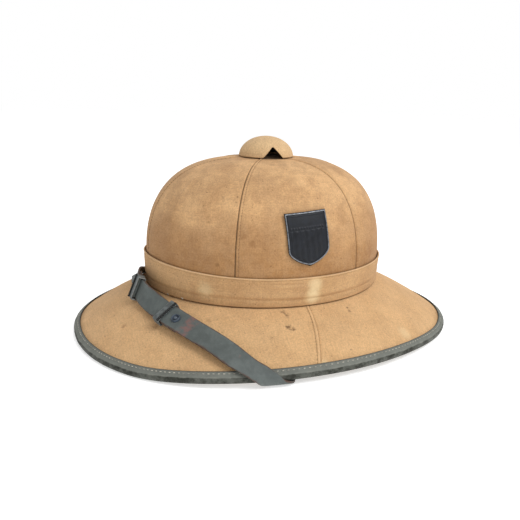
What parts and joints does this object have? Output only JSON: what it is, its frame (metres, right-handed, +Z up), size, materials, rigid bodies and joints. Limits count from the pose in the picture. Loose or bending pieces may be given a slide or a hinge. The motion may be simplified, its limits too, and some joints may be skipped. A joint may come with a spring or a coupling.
{
  "type": "pith helmet",
  "caption": "Sand-coloured pith helmet with canvas crown gores, pleated band, bound brim, vented top button, shield badge and leather chin strap.",
  "frame": {"origin": "on the floor below the middle of the brim", "axes": "-Y is the wearer's front, +X the wearer's left, +Z up"},
  "size_m": [0.2825, 0.3346, 0.1627],
  "materials": {
    "pith_board": "bare pressed pith",
    "crown_canvas": "worn sand canvas",
    "brim_canvas": "worn sand canvas, lighter",
    "button_canvas": "close canvas",
    "band_cloth": "fine cloth, pleated",
    "binding_leather": "dull painted leather",
    "strap_leather": "painted leather, worn",
    "slide_metal": "worn grey paint",
    "stud_metal": "worn grey paint",
    "badge_metal": "dark paint worn to metal"
  },
  "bodies": {
    "root": {"brim_cover_back": "brim_canvas", "brim_cover_front": "brim_canvas", "crown_gore_back_left": "crown_canvas", "crown_gore_back_right": "crown_canvas", "crown_gore_front_left": "crown_canvas", "crown_gore_front_right": "crown_canvas", "crown_gore_left": "crown_canvas", "crown_gore_right": "crown_canvas", "edge_binding": "binding_leather", "hat_band": "band_cloth", "pith_shell": "pith_board", "rivet_left": "stud_metal", "rivet_right": "stud_metal", "shield_badge": "badge_metal", "slide_left": "slide_metal", "slide_right": "slide_metal", "strap_left": "strap_leather", "strap_link": "strap_leather", "strap_right": "strap_leather", "stud_left": "stud_metal", "stud_right": "stud_metal", "vent_button": "button_canvas"}
  },
  "joints": []
}
